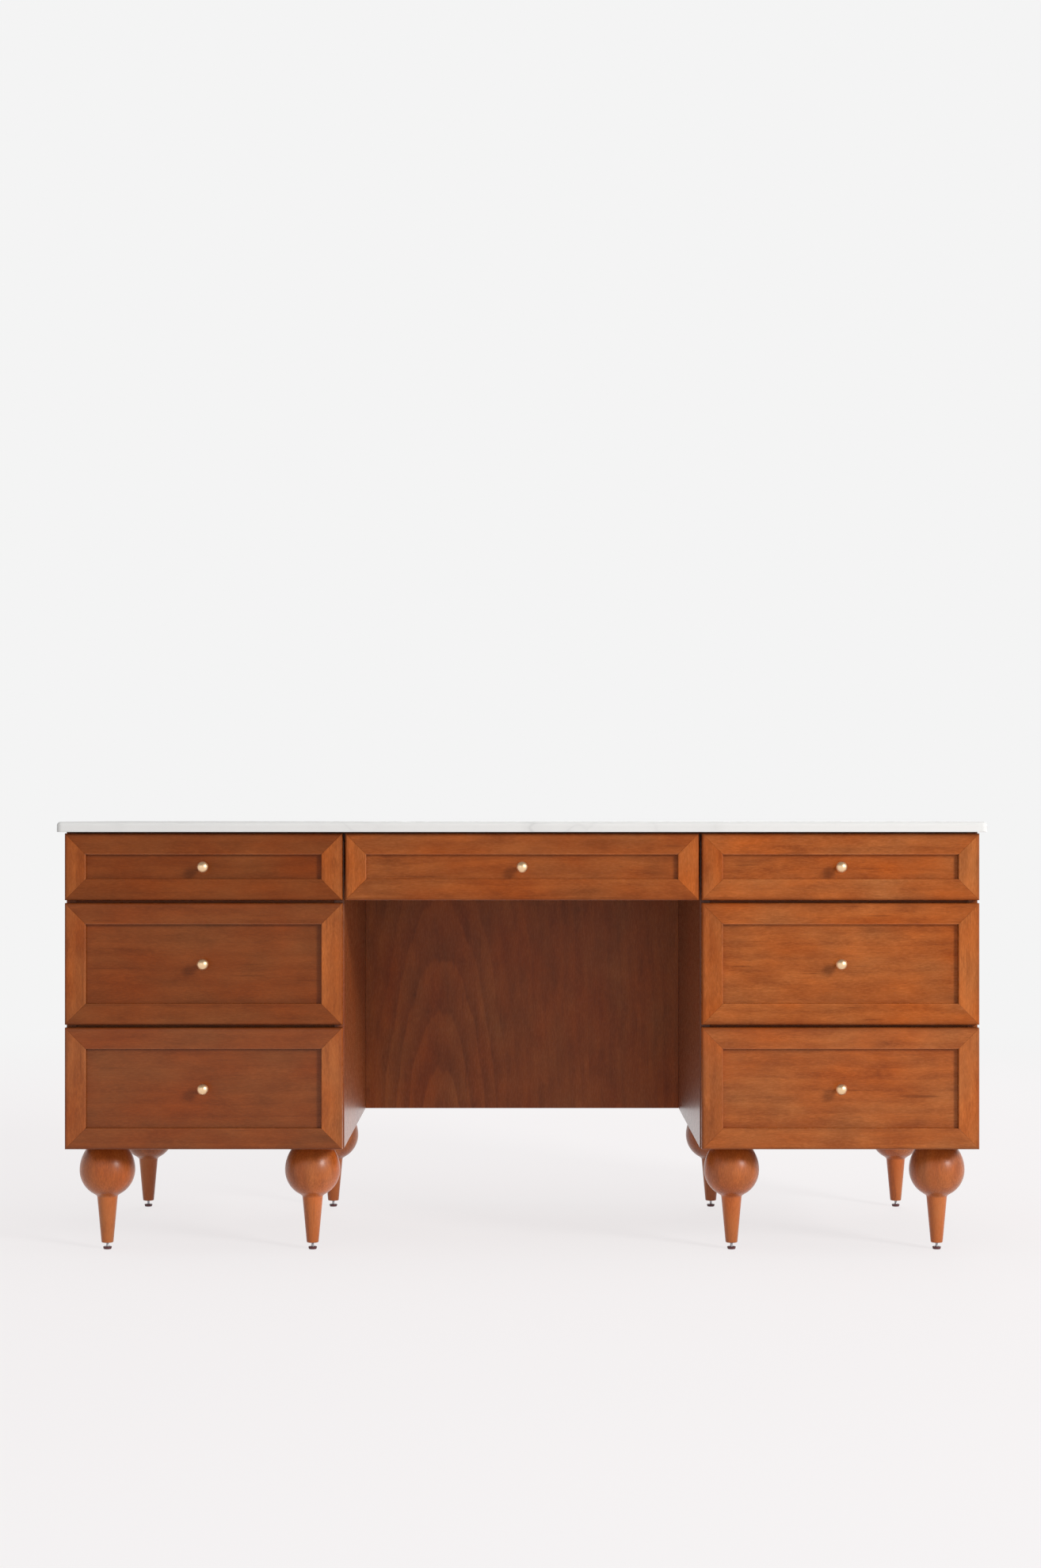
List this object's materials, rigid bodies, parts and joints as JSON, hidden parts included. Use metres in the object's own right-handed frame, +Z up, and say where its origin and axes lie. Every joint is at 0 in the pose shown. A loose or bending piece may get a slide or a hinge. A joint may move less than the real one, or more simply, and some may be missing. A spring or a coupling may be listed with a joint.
{
  "type": "executive desk",
  "caption": "Double-pedestal executive desk with a white stone top, framed drawer fronts, brass knobs and turned ball legs on levelling feet.",
  "frame": {"origin": "on the floor, under the middle of the whole desk, knobs included", "axes": "+X to the right along the desk's width, +Y from the drawers' front to the back, +Z up"},
  "size_m": [1.626, 0.7186, 0.762],
  "materials": {
    "white_stone": "honed white stone with faint grey veins",
    "stained_wood": "red-brown stained wood under satin lacquer",
    "pale_plywood": "clear-lacquered plywood",
    "satin_brass": "satin turned brass",
    "zinc_steel": "zinc-plated steel",
    "foot_plastic": "dark maroon moulded plastic"
  },
  "bodies": {
    "root": {"marble_top": "white_stone", "left_outer_side": "stained_wood", "left_inner_side": "stained_wood", "right_inner_side": "stained_wood", "right_outer_side": "stained_wood", "sub_top": "pale_plywood", "modesty_panel": "stained_wood", "left_base_panel": "stained_wood", "left_back_panel": "stained_wood", "right_base_panel": "stained_wood", "right_back_panel": "stained_wood", "drawer_rails": "stained_wood", "leg_left_front_outer": "stained_wood", "leg_left_front_inner": "stained_wood", "leg_left_rear_outer": "stained_wood", "leg_left_rear_inner": "stained_wood", "leg_right_front_outer": "stained_wood", "leg_right_front_inner": "stained_wood", "leg_right_rear_outer": "stained_wood", "leg_right_rear_inner": "stained_wood", "leg_bolts": "zinc_steel", "base_inserts": "zinc_steel", "foot_inserts": "zinc_steel", "case_runners": "zinc_steel"},
    "bottom_left_drawer": {"bottom_left_drawer_front": "stained_wood", "bottom_left_drawer_box": "pale_plywood", "bottom_left_drawer_knob": "satin_brass", "bottom_left_drawer_runners": "zinc_steel"},
    "bottom_right_drawer": {"bottom_right_drawer_front": "stained_wood", "bottom_right_drawer_box": "pale_plywood", "bottom_right_drawer_knob": "satin_brass", "bottom_right_drawer_runners": "zinc_steel"},
    "centre_drawer": {"centre_drawer_front": "stained_wood", "centre_drawer_box": "pale_plywood", "centre_drawer_knob": "satin_brass", "centre_drawer_runners": "zinc_steel"},
    "middle_left_drawer": {"middle_left_drawer_front": "stained_wood", "middle_left_drawer_box": "pale_plywood", "middle_left_drawer_knob": "satin_brass", "middle_left_drawer_runners": "zinc_steel"},
    "middle_right_drawer": {"middle_right_drawer_front": "stained_wood", "middle_right_drawer_box": "pale_plywood", "middle_right_drawer_knob": "satin_brass", "middle_right_drawer_runners": "zinc_steel"},
    "top_left_drawer": {"top_left_drawer_front": "stained_wood", "top_left_drawer_box": "pale_plywood", "top_left_drawer_knob": "satin_brass", "top_left_drawer_runners": "zinc_steel"},
    "top_right_drawer": {"top_right_drawer_front": "stained_wood", "top_right_drawer_box": "pale_plywood", "top_right_drawer_knob": "satin_brass", "top_right_drawer_runners": "zinc_steel"},
    "foot_left_front_outer": {"leveller_left_front_outer": "foot_plastic"},
    "foot_left_front_inner": {"leveller_left_front_inner": "foot_plastic"},
    "foot_left_rear_outer": {"leveller_left_rear_outer": "foot_plastic"},
    "foot_left_rear_inner": {"leveller_left_rear_inner": "foot_plastic"},
    "foot_right_front_outer": {"leveller_right_front_outer": "foot_plastic"},
    "foot_right_front_inner": {"leveller_right_front_inner": "foot_plastic"},
    "foot_right_rear_outer": {"leveller_right_rear_outer": "foot_plastic"},
    "foot_right_rear_inner": {"leveller_right_rear_inner": "foot_plastic"}
  },
  "joints": [
    {"name": "bottom_left_drawer_slide", "type": "slide", "parent": "root", "child": "bottom_left_drawer", "axis": [0, -1, 0], "range_m": [0, 0.41]},
    {"name": "bottom_right_drawer_slide", "type": "slide", "parent": "root", "child": "bottom_right_drawer", "axis": [0, -1, 0], "range_m": [0, 0.41]},
    {"name": "centre_drawer_slide", "type": "slide", "parent": "root", "child": "centre_drawer", "axis": [0, -1, 0], "range_m": [0, 0.33]},
    {"name": "middle_left_drawer_slide", "type": "slide", "parent": "root", "child": "middle_left_drawer", "axis": [0, -1, 0], "range_m": [0, 0.41]},
    {"name": "middle_right_drawer_slide", "type": "slide", "parent": "root", "child": "middle_right_drawer", "axis": [0, -1, 0], "range_m": [0, 0.41]},
    {"name": "top_left_drawer_slide", "type": "slide", "parent": "root", "child": "top_left_drawer", "axis": [0, -1, 0], "range_m": [0, 0.41]},
    {"name": "top_right_drawer_slide", "type": "slide", "parent": "root", "child": "top_right_drawer", "axis": [0, -1, 0], "range_m": [0, 0.41]},
    {"name": "foot_left_front_outer_screw", "type": "slide", "parent": "root", "child": "foot_left_front_outer", "axis": [0, 0, -1], "range_m": [-0.006, 0.012]},
    {"name": "foot_left_front_inner_screw", "type": "slide", "parent": "root", "child": "foot_left_front_inner", "axis": [0, 0, -1], "range_m": [-0.006, 0.012]},
    {"name": "foot_left_rear_outer_screw", "type": "slide", "parent": "root", "child": "foot_left_rear_outer", "axis": [0, 0, -1], "range_m": [-0.006, 0.012]},
    {"name": "foot_left_rear_inner_screw", "type": "slide", "parent": "root", "child": "foot_left_rear_inner", "axis": [0, 0, -1], "range_m": [-0.006, 0.012]},
    {"name": "foot_right_front_outer_screw", "type": "slide", "parent": "root", "child": "foot_right_front_outer", "axis": [0, 0, -1], "range_m": [-0.006, 0.012]},
    {"name": "foot_right_front_inner_screw", "type": "slide", "parent": "root", "child": "foot_right_front_inner", "axis": [0, 0, -1], "range_m": [-0.006, 0.012]},
    {"name": "foot_right_rear_outer_screw", "type": "slide", "parent": "root", "child": "foot_right_rear_outer", "axis": [0, 0, -1], "range_m": [-0.006, 0.012]},
    {"name": "foot_right_rear_inner_screw", "type": "slide", "parent": "root", "child": "foot_right_rear_inner", "axis": [0, 0, -1], "range_m": [-0.006, 0.012]}
  ]
}
